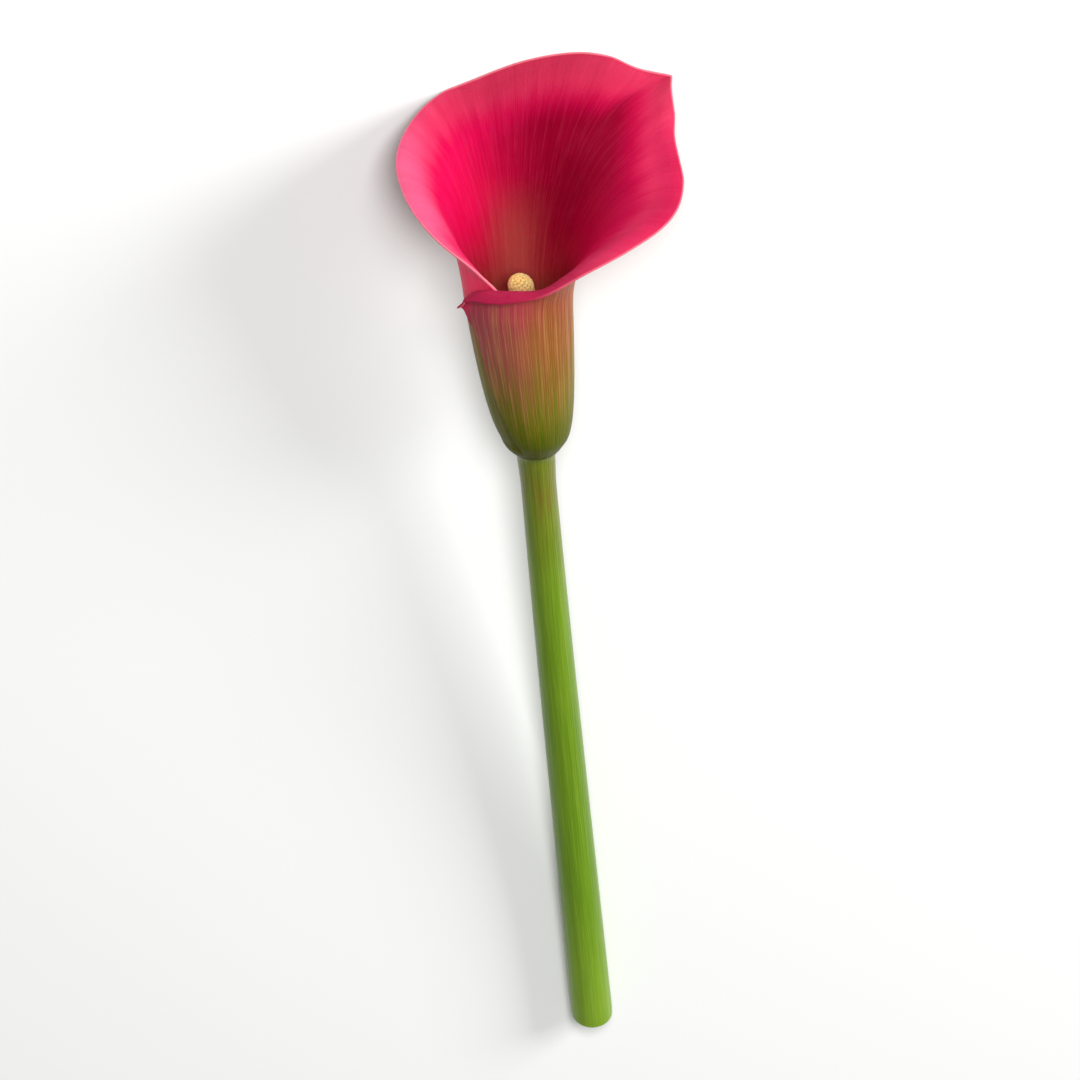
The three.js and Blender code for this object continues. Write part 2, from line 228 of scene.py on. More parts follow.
SPADIX_BEND = 1.5  # above 1, it bends more towards its top
BLUNTNESS = 0.99  # below 1, so that a small flat place is left at its very top
ANTHERS = 560
ANTHER_SEED = 11
ANTHER_CORE_R = 2.6
ANTHER_CORE_ENDS = (STAMEN_FOOT - 0.25, SPADIX_TOP - 0.2)
ANTHER_START = 0.35  # the first ones stand this much above the stamens' foot
ANTHER_LEVELS = 600  # heights at which the spadix's area is added up, to space them evenly
ANTHER_SIZE = 0.94
ANTHER_UNEVEN = 0.07  # how much their sizes differ
ANTHER_TWIST = 0.35  # how far one may be twisted, in radians
ANTHER_STRAY = 0.03  # and stray round the spadix
ANTHER_HALVES = (0.55, 0.43, 0.42)  # half the length, breadth and height of one anther
ANTHER_SQUARE = 0.75  # below 1, it is squarer than an egg
ANTHER_SINK = 0.36  # its middle lies this far under the spadix's surface
FURROW = 0.32
FURROW_WIDTH = 0.3
PISTIL_ROWS = 5
PISTILS_ROUND = 11
PISTIL_CORE_R = 2.75
PISTIL_SEED = 5
PISTIL_SIZE = 0.98
PISTIL_STRAY = 0.04  # how far one may stray round the spadix, in radians,
PISTIL_UNEVEN = 0.1  # and up or down, in millimetres
PISTIL_LEAN = (-0.05, 0.25)  # how far it may lean up, in radians
PISTIL_TWIST = 3
PISTIL_REACH = (-0.5, 1.0)  # from its foot, inside the core, to its top
OVARY_R = 0.84
OVARY_TOP = 0.72  # of the pistil's height
OVARY_PLUMP = 0.6  # the less, the plumper
STIGMA_R = 0.33
STIGMA_FOOT = 0.64
STIGMA_PLUMP = 0.5
STIGMA_SHADE = (0.66, 0.74)  # its cream colour comes in between these
NECK_R = 0.2
CORE_POLE = 0.25  # a sphere's points nearer than this to its axis draw in to close its poles
OVARY_POLE = 0.2

# ---- small helpers --------------------------------------------------------------------------


def lerp(a, b, t):
    return a + (b - a) * t


def smoothstep(x, low, high):
    t = np.clip((x - low) / (high - low), 0, 1)
    return t * t * (3 - 2 * t)


def pushed(points, direction, amount):
    """Points moved along unit vectors by an amount each."""
    return points + direction * np.expand_dims(amount, -1)


def unit(vectors):
    return vectors / np.linalg.norm(vectors, axis=-1, keepdims=True)


def noise_at(x, y, seed):
    """Smooth noise from -1 to 1 at each pair of coordinates."""
    flat = [noise.noise(Vector((a, b, seed))) for a, b in zip(np.ravel(x), np.ravel(y))]
    return np.reshape(flat, np.shape(x))


def deselect():
    if bpy.context.object and bpy.context.object.mode != "OBJECT":
        bpy.ops.object.mode_set(mode="OBJECT")
    bpy.ops.object.select_all(action="DESELECT")


def select_only(piece):
    deselect()
    piece.select_set(True)
    bpy.context.view_layer.objects.active = piece


def coordinates(piece):
    mesh = piece.data
    flat = np.empty(3 * len(mesh.vertices))
    mesh.vertices.foreach_get("co", flat)
    return flat.reshape(-1, 3)


def reshape(piece, points):
    piece.data.vertices.foreach_set("co", np.ravel(points))
    piece.data.update()


def add_measure(piece, name, values):
    """A number for each vertex, which the materials read by name."""
    layer = piece.data.attributes.new(name, "FLOAT", "POINT")
    layer.data.foreach_set("value", np.ravel(values).astype(np.float32))


def apply_modifier(piece, kind, **settings):
    select_only(piece)
    modifier = piece.modifiers.new(kind.title(), kind)
    for key, value in settings.items():
        setattr(modifier, key, value)
    bpy.ops.object.modifier_apply(modifier=modifier.name)


def shade_smooth(piece):
    select_only(piece)
    bpy.ops.object.shade_smooth()


def start_selection(piece, kind):
    """Clears the piece's selection, for VERT, EDGE or FACE to be selected next."""
    select_only(piece)
    bpy.ops.object.mode_set(mode="EDIT")
    bpy.ops.mesh.select_mode(type=kind)
    bpy.ops.mesh.select_all(action="DESELECT")
    bpy.ops.object.mode_set(mode="OBJECT")


def round_coordinates(points):
    """Each point's turn round the z axis and its distance from it."""
    return np.arctan2(points[:, 1], points[:, 0]), np.hypot(points[:, 0], points[:, 1])


def place_round(middle, turn, r):
    """Points at a turn and a distance round a middle line, which is moved out to them."""
    middle[:, 0] += r * np.cos(turn)
    middle[:, 1] += r * np.sin(turn)
    return middle


def sphere_levels(points):
    """The height of a sphere's points, evenly from 0 at its foot to 1 at its top."""
    return np.arccos(np.clip(-points[:, 2], -1, 1)) / math.pi


def hand_over(piece, node):
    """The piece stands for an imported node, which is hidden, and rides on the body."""
    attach(piece, BODY)
    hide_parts(node)


# ---- the flower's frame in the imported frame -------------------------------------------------


def find_joint():
    """Where the joint between stem and spathe lies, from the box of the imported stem."""
    low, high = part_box("stem")
    peg_reach = PEG_HEIGHT * math.cos(LIE) + PEG_R * math.sin(LIE)
    return np.array([low.x + STEM_TOP_R * MM, high.y - peg_reach * MM, BASE_HEIGHT * MM])


JOINT = find_joint()


def lay_down(points):
    """Points from the flower's frame, in millimetres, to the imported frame, in metres."""
    x, y, z = np.moveaxis(points, -1, 0)
    c, s = math.cos(LIE), math.sin(LIE)
    return np.stack((x, z * c + y * s, z * s - y * c), axis=-1) * MM + JOINT


def height_of(p):
    """Height above the table, in millimetres."""
    return BASE_HEIGHT - p[..., 1] * math.cos(LIE) + p[..., 2] * math.sin(LIE)


def settling(p, press):
    """How far a point has to rise for what would reach into the table to lie flat on it."""
    h = height_of(p)
    bent = np.where(h <= -press, 0, (h + press) ** 2 / (4 * press))
    return np.where(h >= press, 0, bent - h)


UP = np.array([0, -math.cos(LIE), math.sin(LIE)])  # the table's up in the flower's frame


# ---- spathe ---------------------------------------------------------------------------------


def read_stations(table, bearing, column):
    """A smooth curve through a table's stations, read at each bearing."""
    keys, values = table[:, 0], table[:, column]
    last = len(keys) - 1
    before = np.maximum(np.arange(last + 1) - 1, 0)
    after = np.minimum(np.arange(last + 1) + 1, last)
    slope = (values[after] - values[before]) / (keys[after] - keys[before])
    i = np.clip(np.searchsorted(keys, bearing, side="right") - 1, 0, last - 1)
    width = keys[i + 1] - keys[i]
    t = (bearing - keys[i]) / width
    t2, t3 = t * t, t * t * t
    return (
        (2 * t3 - 3 * t2 + 1) * values[i]
        + (t3 - 2 * t2 + t) * width * slope[i]
        + (3 * t2 - 2 * t3) * values[i + 1]
        + (t3 - t2) * width * slope[i + 1]
    )


def tube_radius(z):
    return TUBE_R + TUBE_SWELL * z / (z + SWELL_HEIGHT) + TUBE_TAPER * z


def tube_shift(z):
    return -THROAT_SHIFT * (z / THROAT_Z) * (1 + EARLY_LEAN * (1 - z / THROAT_Z))


def wrap_bearing(across, along):
    """Bearing of a place in the sheet: across is -1 at the inner margin, 0 at the midrib and 1 at
    the outer margin; along is 0 at the joint and 1 at the rim."""
    rim_end = np.where(across < 0, RIM[0, 0], RIM[-1, 0])
    base_end = BASE_MIDRIB + 180 * np.sign(across)
    free = np.maximum((along - SLIDE_START) / (1 - SLIDE_START), 0)
    margin = lerp(base_end, rim_end, 1 - (1 - np.minimum(free * SLIDE_RATE, 1)) ** 2)
    midrib = lerp(BASE_MIDRIB, TIP_BEARING, along * along)
    return midrib + np.abs(across) * (margin - midrib)


def on_tube(bearing, z):
    step = WRAP_PITCH * smoothstep(z, GROWN_TO, LIFT_TO)
    r = tube_radius(z) + step * (bearing - BASE_MIDRIB) / 360
    turn = np.radians(bearing)
    return np.stack((tube_shift(z) + r * np.sin(turn), r * np.cos(turn), z), axis=-1)


def leaning(bearing, flare):
    """The direction at a bearing that leans out from the tube's axis by the flare, in degrees."""
    turn, lean = np.broadcast_arrays(np.radians(bearing), np.radians(flare))
    return np.stack((np.sin(lean) * np.sin(turn), np.sin(lean) * np.cos(turn), np.cos(lean)), -1)


def bezier(a, b, c, d, t):
    t = np.expand_dims(t, -1)
    return (1 - t) ** 3 * a + 3 * (1 - t) ** 2 * t * b + 3 * (1 - t) * t * t * c + t**3 * d


def spathe_middle(across, along):
    """The middle of the wall: straight up the tube, then a curve out to the rim, with the pointed
    tip drawn out of the last of it."""
    bearing = wrap_bearing(across, along)
    rim_bearing = wrap_bearing(across, np.ones_like(along))
    rim_reach = read_stations(RIM, rim_bearing, RIM_REACH)
    rim_reach = rim_reach - read_stations(ROLL, rim_bearing, ROLL_DRAWN_IN)
    rim_z = read_stations(RIM, rim_bearing, RIM_HEIGHT)
    rim_z = rim_z - read_stations(ROLL, rim_bearing, ROLL_DROP)
    front = 0.5 - 0.5 * np.cos(np.radians(rim_bearing))
    throat = np.minimum(lerp(BACK_THROAT_Z, THROAT_Z, front), LOW_THROAT * rim_z)
    up_tube = np.minimum(along / TUBE_SHARE, 1) ** JOINT_CROWD
    even = smoothstep(up_tube, *EVEN_ROWS)
    start = on_tube(bearing, lerp(FOOT_Z, lerp(THROAT_Z, throat, even), up_tube))

    t = np.maximum((along - TUBE_SHARE) / (1 - TUBE_SHARE), 0)
    rim = leaning(rim_bearing, 90) * np.expand_dims(rim_reach, -1)
    rim += np.stack((np.full_like(rim_z, -THROAT_SHIFT), np.zeros_like(rim_z), rim_z), -1)
    climb = unit(on_tube(bearing, throat + CLIMB_STEP) - on_tube(bearing, throat))
    sideways = np.sin(np.radians(rim_bearing)) ** 2
    flare = lerp(lerp(FLARE_BACK, FLARE_FRONT, front), FLARE_SIDE, sideways)
    out = leaning(rim_bearing, flare * smoothstep(rim_z, THROAT_Z, THROAT_Z + FLARE_HEIGHT))
    span = np.linalg.norm(rim - start, axis=-1)
    keep = pushed(start, climb, THROAT_HANDLE * span)
    meet = pushed(rim, out, -RIM_HANDLE * span)
    point = bezier(start, keep, meet, rim, t)

    off = rim_bearing - TIP_BEARING
    drawn = smoothstep(t, TIP_START, 1)
    width = np.where(off < 0, TIP_LEFT, TIP_RIGHT) * (1 + TIP_SPREAD * (1 - drawn))
    blunt = 1 + TIP_EASE * np.sqrt(1 - drawn)
    fall = (np.hypot(off, blunt) - blunt) / width
    tip = TIP_LENGTH * np.exp(-fall) * drawn**3
    point = pushed(point, leaning(rim_bearing, 90), tip)
    point[..., 2] -= TIP_DROOP * tip
    return np.where(np.expand_dims(along <= TUBE_SHARE, -1), start, point)


def spathe_outward(across, along):
    """The unit vector out of the sheet, away from the mouth."""
    low, high = np.maximum(across - PROBE, -1), np.minimum(across + PROBE, 1)
    down, up = np.maximum(along - PROBE, 0), np.minimum(along + PROBE, 1)
    rise = spathe_middle(across, up) - spathe_middle(across, down)
    round_ = spathe_middle(high, along) - spathe_middle(low, along)
    return unit(np.cross(rise, round_))


def edge_steps():
    """Distances from a free edge, in millimetres, at which its rounding is drawn."""
    return EDGE_R * (1 - np.cos(np.linspace(0, math.pi / 2, EDGE_ROWS + 1)))


def spathe_places():
    """Where the sheet's columns and rows lie, as across and along, drawn closer at its edges."""
    body = np.linspace(0, 1, HALF_COLUMNS + 1)
    tube = TUBE_SHARE * np.linspace(0, 1, TUBE_ROWS + 1)
    limb = 1 - (1 - TUBE_SHARE) * (1 - np.linspace(0, 1, LIMB_ROWS + 1)[1:]) ** LIMB_CROWD
    plain = np.concatenate((tube, limb))
    columns = 2 * (HALF_COLUMNS + EDGE_ROWS) + 1
    rows = len(plain) + EDGE_ROWS

    # How long one unit of across is at each row's two ends
    row_along = np.concatenate((plain, np.ones(EDGE_ROWS)))
    across = np.empty((columns, rows))
    for side in (-1, 1):
        end = np.full(rows, float(side))
        stretch = spathe_middle(end, row_along) - spathe_middle(end * (1 - PROBE), row_along)
        edge = np.outer(edge_steps(), PROBE / np.linalg.norm(stretch, axis=-1))
        inner = np.outer(body**MIDRIB_CROWD, 1 - edge[-1])
        half = side * np.concatenate((inner, 1 - edge[-2::-1]))
        if side < 0:
            across[: len(half)] = half[::-1]
        else:
            across[-len(half) :] = half

    # And one unit of along at each column's end
    end = np.ones(columns)
    stretch = spathe_middle(across[:, -1], end) - spathe_middle(across[:, -1], end - PROBE)
    edge = np.outer(PROBE / np.linalg.norm(stretch, axis=-1), edge_steps())
    limb_share = np.maximum(plain - TUBE_SHARE, 0) / (1 - TUBE_SHARE)
    lower = np.minimum(plain, TUBE_SHARE) + np.outer(1 - edge[:, -1] - TUBE_SHARE, limb_share)
    along = np.concatenate((lower, 1 - edge[:, -2::-1]), axis=1)
    return across, along


def lengths_from(points, axis):
    """Length along the sheet from the first place of each line, in millimetres."""
    steps = np.linalg.norm(np.diff(points, axis=axis), axis=-1)
    first = np.zeros_like(np.take(steps, [0], axis=axis))
    return np.concatenate((first, np.cumsum(steps, axis=axis)), axis=axis)


def lengths_to(points, axis):
    """Length along the sheet to the last place of each line, in millimetres."""
    return np.flip(lengths_from(np.flip(points, axis), axis), axis)


def turn_round_axis(points, near):
    """How far round the tube's axis each point lies, in turns, kept near to the given bearing."""
    z = np.minimum(points[..., 2], THROAT_Z)
    bearing = np.degrees(np.arctan2(points[..., 0] - tube_shift(z), points[..., 1]))
    return bearing / 360 + np.rint((near - bearing) / 360)


def eased(points, across):
    """The points averaged with their neighbours round the sheet."""
    place = across[:, 0]
    share = np.gradient(place) * np.exp(-0.5 * ((place[:, None] - place) / EASE_WIDTH) ** 2)
    share /= share.sum(axis=1, keepdims=True)
    return np.einsum("ik,kjc->ijc", share, points)


def read_along(vectors, from_rim, distance):
    """A unit vector for each column, read this far from the rim."""
    picked = [
        [np.interp(far, line, vector[:, k]) for k in range(3)]
        for far, line, vector in zip(distance, from_rim[:, ::-1], vectors[:, ::-1])
    ]
    return unit(np.array(picked))[:, None]


def rolled(points, outward, from_rim, bearing):
    """The sheet with its margin rolled over, as far as ROLL says at each column's bearing."""
    start = read_stations(ROLL, bearing, ROLL_START)
    rise = read_along(unit(np.gradient(points, axis=1)), from_rim, start)
    over = read_along(outward, from_rim, start)
    start = start[:, None]
    turn = np.radians(read_stations(ROLL, bearing, ROLL_DEGREES))
    turn = np.maximum(turn, ROLL_LEAST)[:, None]
    radius = start / np.sin(np.minimum(turn, ROLL_CREST))
    length = radius * turn
    near = np.minimum(from_rim, start)
    from_end = near + (length - start) * smoothstep(near / start, 0, 1)
    angle = turn * (1 - from_end / length)
    points = pushed(points, rise, radius * np.sin(angle) - (start - near))
    return pushed(points, over, ROLL_DEPTH * radius * (1 - np.cos(angle)))


def rounding(distance):
    """The share of the wall's thickness that is left this near a free edge."""
    inside = 1 - np.minimum(distance / EDGE_R, 1)
    return np.maximum(np.sqrt(1 - inside**2), EDGE_LEFT)


def spathe_surface():
    """The sheet's points, wall thickness and the measures that its materials read."""
    across, along = spathe_places()
    points = spathe_middle(across, along)
    outward = spathe_outward(across, along)

    from_rim = lengths_to(points, 1)
    from_outer = lengths_to(points, 0)
    from_side = np.minimum(lengths_from(points, 0), from_outer)
    height = points[..., 2].copy()
    free = smoothstep(height, GROWN_TO, GROWN_TO + PART_RUN)

    # Creases eased, then the long fibres and the unevenness of the limb
    ease = smoothstep(from_rim, *EASE_RIM) * smoothstep(from_side, *EASE_RIM)
    ease = np.expand_dims(ease * smoothstep(along, *EASE_START), -1)
    points = lerp(points, eased(points, across), ease)
    turn = turn_round_axis(points, wrap_bearing(across, along))
    from_foot = lengths_from(points, 1)
    pleats = PLEAT * noise_at(turn * PLEATS, from_foot / PLEAT_RUN, PLEAT_SEED)
    pleats *= smoothstep(np.minimum(from_rim, from_side), *PLEAT_EDGE)
    x, y = points[..., 0] / RIPPLE_SIZE, points[..., 1] / RIPPLE_SIZE + height / RIPPLE_RISE
    ripples = RIPPLE * noise_at(x, y, RIPPLE_SEED) * smoothstep(height, *RIPPLE_START)
    points = pushed(points, outward, pleats + ripples)

    # The corner of the outer margin stands off, and then the whole margin rolls over
    corner = np.maximum(1 - from_outer / CORNER_WIDTH, 0) ** 2
    points = pushed(points, outward, CORNER_FLARE * corner * smoothstep(from_rim, *CORNER_DROP))
    rim_bearing = wrap_bearing(across[:, -1], along[:, -1])
    points = rolled(points, outward, from_rim, rim_bearing)

    from_rim = lengths_to(points, 1)
    from_edge = np.minimum(from_rim, from_side + FAR * (1 - free))
    thickness = lerp(WALL_BASE, WALL_RIM, smoothstep(along, *WALL_TAPER))
    thickness *= lerp(EDGE_THIN, 1, smoothstep(from_edge, 0, EDGE_FADE))
    thickness *= rounding(from_rim) * lerp(1, rounding(from_side), free)
    outer = pushed(points, outward, thickness / 2)
    points = pushed(points, np.broadcast_to(UP, points.shape), settling(outer, PRESS))
    measures = {
        "from_rim": from_rim,
        "from_outer": from_outer,
        "from_joint": height,
        "from_foot": from_foot,
        "turn": turn,
    }
    return points, thickness, measures


def make_spathe():
    """One sheet, rolled into a funnel, with its margins grown together at the foot."""
    points, thickness, measures = spathe_surface()
    columns, rows = thickness.shape
    deselect()
    bpy.ops.mesh.primitive_grid_add(
        x_subdivisions=columns - 1, y_subdivisions=rows - 1, size=1, calc_uvs=True
    )
    spathe = bpy.context.object
    spathe.name = "spathe_funnel"
    flat = coordinates(spathe)
    i = np.rint((flat[:, 0] + 0.5) * (columns - 1)).astype(int)
    j = np.rint((flat[:, 1] + 0.5) * (rows - 1)).astype(int)
    reshape(spathe, lay_down(points[i, j]))
    for name, values in measures.items():
        add_measure(spathe, name, values[i, j])

    wall = spathe.vertex_groups.new(name="wall")
    for index, share in enumerate(thickness[i, j] / WALL_BASE):
        wall.add([index], float(share), "REPLACE")
    start_selection(spathe, "VERT")
    bpy.ops.object.mode_set(mode="EDIT")
    bpy.ops.mesh.select_all(action="SELECT")
    bpy.ops.mesh.remove_doubles(threshold=WELD)
    bpy.ops.object.mode_set(mode="OBJECT")
    for material in (petal_inside(), petal_outside()):
        spathe.data.materials.append(material)
    apply_modifier(
        spathe,
        "SOLIDIFY",
        thickness=WALL_BASE * MM,
        offset=0,
        vertex_group=wall.name,
        thickness_vertex_group=0,
        use_quality_normals=True,
        material_offset=1,
        material_offset_rim=0,
    )
    on_table = coordinates(spathe)
    on_table[:, 2] = np.maximum(on_table[:, 2], 0)
    reshape(spathe, on_table)
    shade_smooth(spathe)
    hand_over(spathe, "spathe")


# ---- stem -----------------------------------------------------------------------------------

STEM_SIDES = 72
STEM_RINGS = 150
STEM_TOP_RISE = 0.45  # the top closes inside the spathe's foot
COLLAR_FLARE = 0.5  # the stem widens this much to meet the spathe's foot
COLLAR_RISE = 0.35  # and comes up this much round it
COLLAR_RUN = 1.5
RIB_RELIEF = 0.022
RIB_PITCH = 26 / 6  # ribs for each radian round the stem
RIB_SHIFT = 9
RIB_SEED = 2.2
SKIN = 0.98  # the ribs are outside this share of the stem's radius
SKIN_DEPTH = 0.02
TOP_RINGS = (0.1, 0.3, 0.3)  # rings of points in each end, each this much further in
CUT_RINGS = (SKIN_DEPTH, 0.03, 0.05, 0.1, 0.15, 0.15, 0.15, 0.15)
CURL = 0.11  # the skin curls in a little over the cut
CURL_IN, CURL_UP = 0.05, 0.06
CUT_HOLLOW = 0.3  # and the soft middle shrinks back
HOLLOW_SLOPE = (0.08, 0.5)
GRAIN = 0.07
GRAIN_PITCH = 1.3
GRAIN_SEED = 4.4
GRAIN_START = 0.06
CUT_EDGE_ANGLE = math.radians(50)  # a sharper bend shows as an edge


def stem_line(down):
    """The stem's middle line, a distance below the joint."""
    s = down / STEM_LENGTH
    rest = STEM_CUT_R * math.cos(LIE) - STEM_SINK
    drop = BASE_HEIGHT - rest - STEM_LENGTH * math.sin(LIE)
    bow = STEM_SAG * s * s * (1 - s) + drop * s * s * (3 - 2 * s)
    return np.stack((STEM_SWAY * s * lerp(SWAY_EARLY, 1, s), bow / math.cos(LIE), -down), -1)


def stem_radius(down):
    body = lerp(STEM_NECK_R, STEM_CUT_R, down / STEM_LENGTH)
    return lerp(STEM_TOP_R, body, smoothstep(down, 0, STEM_SHOULDER))


def inset_end(piece, facing, steps):
    """Rings inside the flat end that faces this way, each a distance further in."""
    start_selection(piece, "FACE")
    for face in piece.data.polygons:
        face.select = face.normal.z * facing > 0.9
    bpy.ops.object.mode_set(mode="EDIT")
    for thickness in steps:
        bpy.ops.mesh.inset(thickness=thickness)
    bpy.ops.object.mode_set(mode="OBJECT")


def crowded_towards_top(up):
    """Heights from 0 to 1, with those of the upper half drawn together towards the top."""
    to_top = np.clip(2 - 2 * up, 0, 1)
    return np.where(up > 0.5, 1 - 0.5 * to_top**2, up)


def shape_cut(share, r, turn, points):
    """How far the cut end's points lie over a flat cut."""
    inside = 1 - share
    grain = noise_at(points[:, 0] * GRAIN_PITCH, points[:, 1] * GRAIN_PITCH, GRAIN_SEED)
    hollow = CUT_HOLLOW * smoothstep(inside, *HOLLOW_SLOPE)
    hollow += GRAIN * grain * (inside > GRAIN_START)
    curl = CURL * (1 - smoothstep(inside, 0, CURL_UP))
    return CUT_SLANT * share * r * np.sin(turn) + hollow + curl


def make_stem():
    """A round fleshy stem, cut across at its end. It is drawn upright, one unit wide and high."""
    deselect()
    bpy.ops.mesh.primitive_cylinder_add(
        vertices=STEM_SIDES, radius=1, depth=1, end_fill_type="NGON"
    )
    stem = bpy.context.object
    stem.name = "stem_stalk"
    start_selection(stem, "EDGE")
    for edge in stem.data.edges:
        a, b = (stem.data.vertices[k].co for k in edge.vertices)
        edge.select = abs(a.z - b.z) > 0.5
    bpy.ops.object.mode_set(mode="EDIT")
    bpy.ops.mesh.subdivide(number_cuts=STEM_RINGS - 1)
    bpy.ops.object.mode_set(mode="OBJECT")
    inset_end(stem, 1, TOP_RINGS)
    inset_end(stem, -1, CUT_RINGS)

    drawn = coordinates(stem)
    turn, share = round_coordinates(drawn)
    up = drawn[:, 2] + 0.5
    cut, top = up < 1e-6, up > 1 - 1e-6
    down = STEM_LENGTH * (1 - crowded_towards_top(up))
    collar = np.maximum(1 - down / COLLAR_RUN, 0) ** 2
    ribs = noise_at(RIB_PITCH * np.cos(turn) + RIB_SHIFT, RIB_PITCH * np.sin(turn), RIB_SEED)
    r = stem_radius(down) + RIB_RELIEF * ribs * smoothstep(share, SKIN, 1) + COLLAR_FLARE * collar
    r -= np.where(cut, CURL * (1 - smoothstep(1 - share, 0, CURL_IN)), 0)
    points = place_round(stem_line(down), turn, share * r)
    points[:, 2] += np.where(cut, shape_cut(share, r, turn, points), 0)
    points[:, 2] += COLLAR_RISE * collar + np.where(top, STEM_TOP_RISE * (1 - share), 0)
    points = pushed(points, np.broadcast_to(UP, points.shape), settling(points, STEM_PRESS))
    reshape(stem, lay_down(points))
    add_measure(stem, "from_foot", down)
    add_measure(stem, "turn", (turn / (2 * math.pi) + 0.75) % 1 - 0.5)  # its seam is underneath
    add_measure(stem, "from_skin", np.where(cut, STEM_CUT_R * (1 - share), 0))

    stem.data.materials.append(stem_skin())
    stem.data.materials.append(stem_flesh())
    flesh = cut & (share < 1 - SKIN_DEPTH / 2)
    for face in stem.data.polygons:
        face.material_index = int(flesh[list(face.vertices)].all())
    shade_smooth(stem)
    bpy.ops.object.shade_smooth_by_angle(angle=CUT_EDGE_ANGLE)
    hand_over(stem, "stem")


# ---- spadix ---------------------------------------------------------------------------------


def spadix_middle(z):
    return np.stack((-SPADIX_LEAN * (z / SPADIX_TOP) ** SPADIX_BEND, np.zeros_like(z), z), -1)


def spadix_radius(z, full):
    """Radius of the spadix, which rounds off at its top."""
    cap = np.clip((z - SPADIX_TOP + full) / full, 0, 1)
    return full * np.sqrt(1 - BLUNTNESS * cap**2)


def make_core(name, low, high, radius):
    """The smooth body that the small organs stand on; the radius is given for each height."""
    deselect()
    bpy.ops.mesh.primitive_uv_sphere_add(segments=32, ring_count=40, radius=1)
    core = bpy.context.object
    core.name = name
    drawn = coordinates(core)
    turn, share = round_coordinates(drawn)
    z = lerp(low, high, sphere_levels(drawn))
    r = radius(z) * np.minimum(share / CORE_POLE, 1)
    reshape(core, lay_down(place_round(spadix_middle(z), turn, r)))
    shade_smooth(core)
    return core


def copy_to_places(piece, places):
    """Copies of the piece, each with its own mesh, at the places. The piece itself is removed."""
    copies = []
    for place in places:
        copy = piece.copy()
        copy.data = piece.data.copy()
        copy.data.transform(place)
        bpy.context.collection.objects.link(copy)
        copies.append(copy)
    bpy.data.objects.remove(piece)
    return copies


def join(first, others, name):
    """One piece, of this name, made of the first and the others."""
    deselect()
    for piece in others:
        piece.select_set(True)
    first.select_set(True)
    bpy.context.view_layer.objects.active = first
    bpy.ops.object.join()
    first.name = name
    return first


def place_on_spadix(z, turn, r, lean, size, twist):
    """Where a small organ stands: its foot on the spadix and its top pointing out, leaning up."""
    outward = Vector((math.cos(turn), math.sin(turn), 0))
    top = outward * math.cos(lean) + Vector((0, 0, math.sin(lean)))
    side = Vector((-math.sin(turn), math.cos(turn), 0))
    c, s = math.cos(LIE), math.sin(LIE)
    laid = Matrix(((1, 0, 0), (0, s, c), (0, -c, s)))
    stood = Matrix((side, top.cross(side), top)).transposed()
    place = (laid @ stood @ Matrix.Rotation(twist, 3, "Z") * (size * MM)).to_4x4()
    foot = Vector(spadix_middle(np.array(float(z)))) + outward * r
    place.translation = Vector(lay_down(np.array(foot)))
    return place


def anther_shape():
    """One stamen's head: a blunt cushion, parted by a furrow into its two pollen sacs."""
    deselect()
    bpy.ops.mesh.primitive_uv_sphere_add(segments=10, ring_count=7, radius=1)
    anther = bpy.context.object
    drawn = coordinates(anther)
    x, z = drawn[:, 0], drawn[:, 2]
    squared = np.abs(drawn) ** ANTHER_SQUARE * np.sign(drawn)
    squared[:, 2] -= FURROW * np.exp(-((x / FURROW_WIDTH) ** 2)) * (z > 0)
    reshape(anther, squared * ANTHER_HALVES)
    shade_smooth(anther)
    return anther


def make_stamens():
    """The upper spadix, thick with stamens in close spirals."""
    low, high = ANTHER_CORE_ENDS
    core = make_core("stamen_core", low, high, lambda z: spadix_radius(z, ANTHER_CORE_R))
    levels = np.linspace(STAMEN_FOOT + ANTHER_START, SPADIX_TOP, ANTHER_LEVELS)
    radius = spadix_radius(levels, SPADIX_R)
    slope = np.gradient(radius, levels)
    area = np.cumsum(radius * np.sqrt(1 + slope**2))
    draw = random.Random(ANTHER_SEED)
    golden = math.pi * (3 - math.sqrt(5))
    places = []
    for n in range(ANTHERS):
        z = float(np.interp((n + 0.5) / ANTHERS * area[-1], area, levels))
        r = float(np.interp(z, levels, radius))
        lean = math.atan(-float(np.interp(z, levels, slope)))
        z -= ANTHER_SINK * math.sin(lean)
        r = max(r - ANTHER_SINK * math.cos(lean), 0)
        size = ANTHER_SIZE + draw.uniform(-ANTHER_UNEVEN, ANTHER_UNEVEN)
        twist = draw.uniform(-ANTHER_TWIST, ANTHER_TWIST)
        turn = n * golden + draw.uniform(-ANTHER_STRAY, ANTHER_STRAY)
        places.append(place_on_spadix(z, turn, r, lean, size, twist))
    stamens = join(core, copy_to_places(anther_shape(), places), "spadix_anthers")
    stamens.data.materials.append(anther_skin())
    hand_over(stamens, "spadix_stamens")


